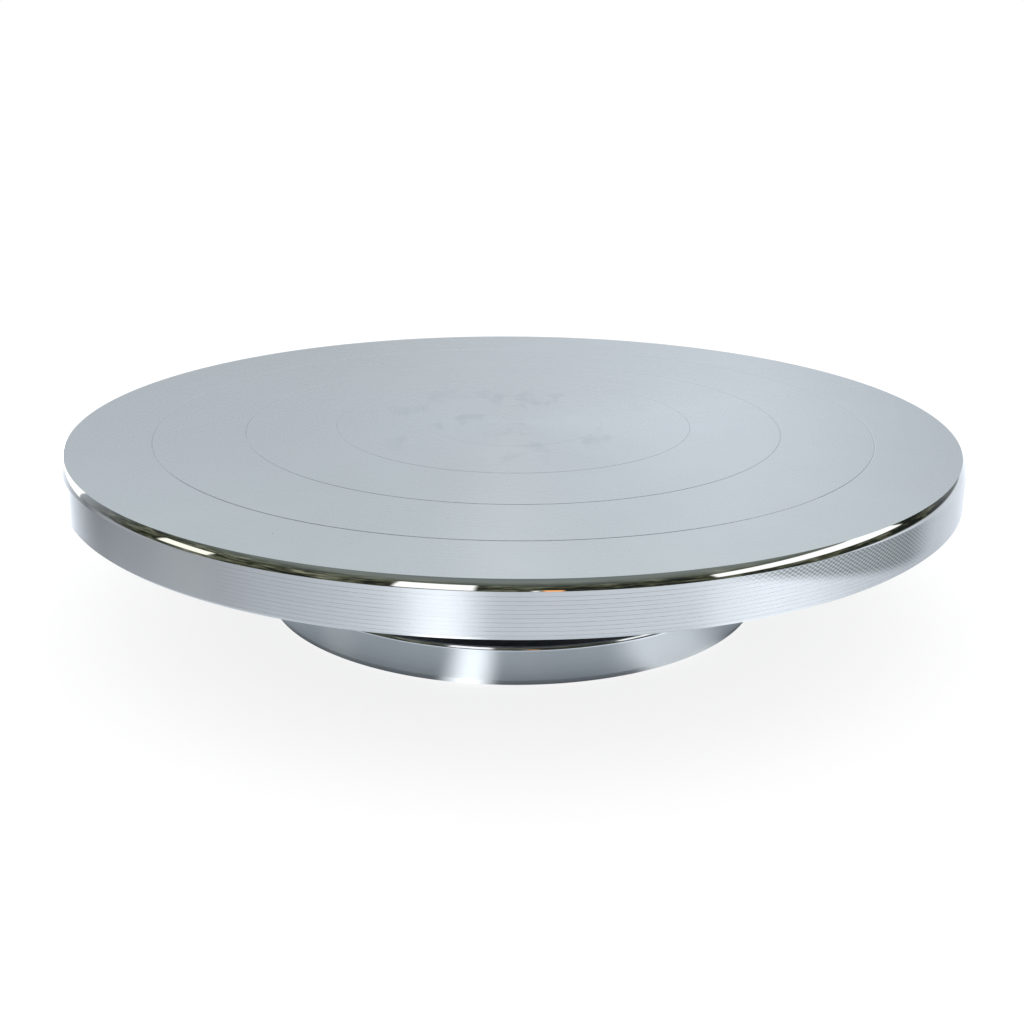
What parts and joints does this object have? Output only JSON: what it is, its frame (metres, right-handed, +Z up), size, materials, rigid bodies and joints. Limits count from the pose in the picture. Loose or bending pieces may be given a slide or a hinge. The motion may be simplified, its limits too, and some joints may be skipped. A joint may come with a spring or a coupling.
{
  "type": "cake turntable",
  "caption": "Low all-metal cake decorating turntable: a wide turned plate with a skirt rim and fine centring rings, spinning on ball bearings in a small round base.",
  "frame": {"origin": "centre of the plane the rubber feet stand on", "axes": "+Z up along the spindle; +X and +Y across the plate"},
  "size_m": [0.3, 0.3, 0.06],
  "materials": {
    "plate": "fine-turned satin top, mirror-polished edge bevel, turned rim",
    "base": "turned and lightly polished aluminium casting",
    "cover": "thin stainless sheet, matt rolled",
    "spindle_steel": "ground steel",
    "screw_steel": "bright zinc plate",
    "spring_steel": "blackened spring steel",
    "bearing_steel": "ground and polished bearing steel",
    "shield_steel": "pressed sheet",
    "bearing_balls": "mirror polished",
    "cage_brass": "satin",
    "felt": "dense grey wool felt",
    "rubber": "matt black rubber"
  },
  "bodies": {
    "base": {"base_casting": "base", "rubber_feet": "rubber", "bottom_cover": "cover", "cover_screws": "screw_steel", "upper_bearing_outer_ring": "bearing_steel", "lower_bearing_outer_ring": "bearing_steel", "upper_bearing_shields": "shield_steel", "lower_bearing_shields": "shield_steel", "upper_housing_circlip": "spring_steel", "lower_housing_circlip": "spring_steel", "preload_disc_spring": "spring_steel", "felt_dust_seal": "felt"},
    "rotor": {"turntable_plate": "plate", "bearing_spindle": "spindle_steel", "spindle_screws": "screw_steel", "inner_ring_spacer": "spindle_steel", "shim_washer": "spindle_steel", "spindle_circlip": "spring_steel", "upper_bearing_inner_ring": "bearing_steel", "lower_bearing_inner_ring": "bearing_steel"},
    "upper_cage": {"upper_ball_cage": "cage_brass", "upper_bearing_balls": "bearing_balls"},
    "lower_cage": {"lower_ball_cage": "cage_brass", "lower_bearing_balls": "bearing_balls"}
  },
  "joints": [
    {"name": "plate_spin", "type": "hinge", "parent": "base", "child": "rotor", "pos_m": [0, 0, 0.045], "axis": [0, 0, 1], "continuous": true},
    {"name": "upper_cage_orbit", "type": "hinge", "parent": "base", "child": "upper_cage", "pos_m": [0, 0, 0.035], "axis": [0, 0, 1], "continuous": true},
    {"name": "lower_cage_orbit", "type": "hinge", "parent": "base", "child": "lower_cage", "pos_m": [0, 0, 0.0165], "axis": [0, 0, 1], "continuous": true}
  ],
  "couplings": [
    {"joint": "upper_cage_orbit", "follows": "plate_spin", "ratio": 0.41649},
    {"joint": "lower_cage_orbit", "follows": "plate_spin", "ratio": 0.41649}
  ]
}
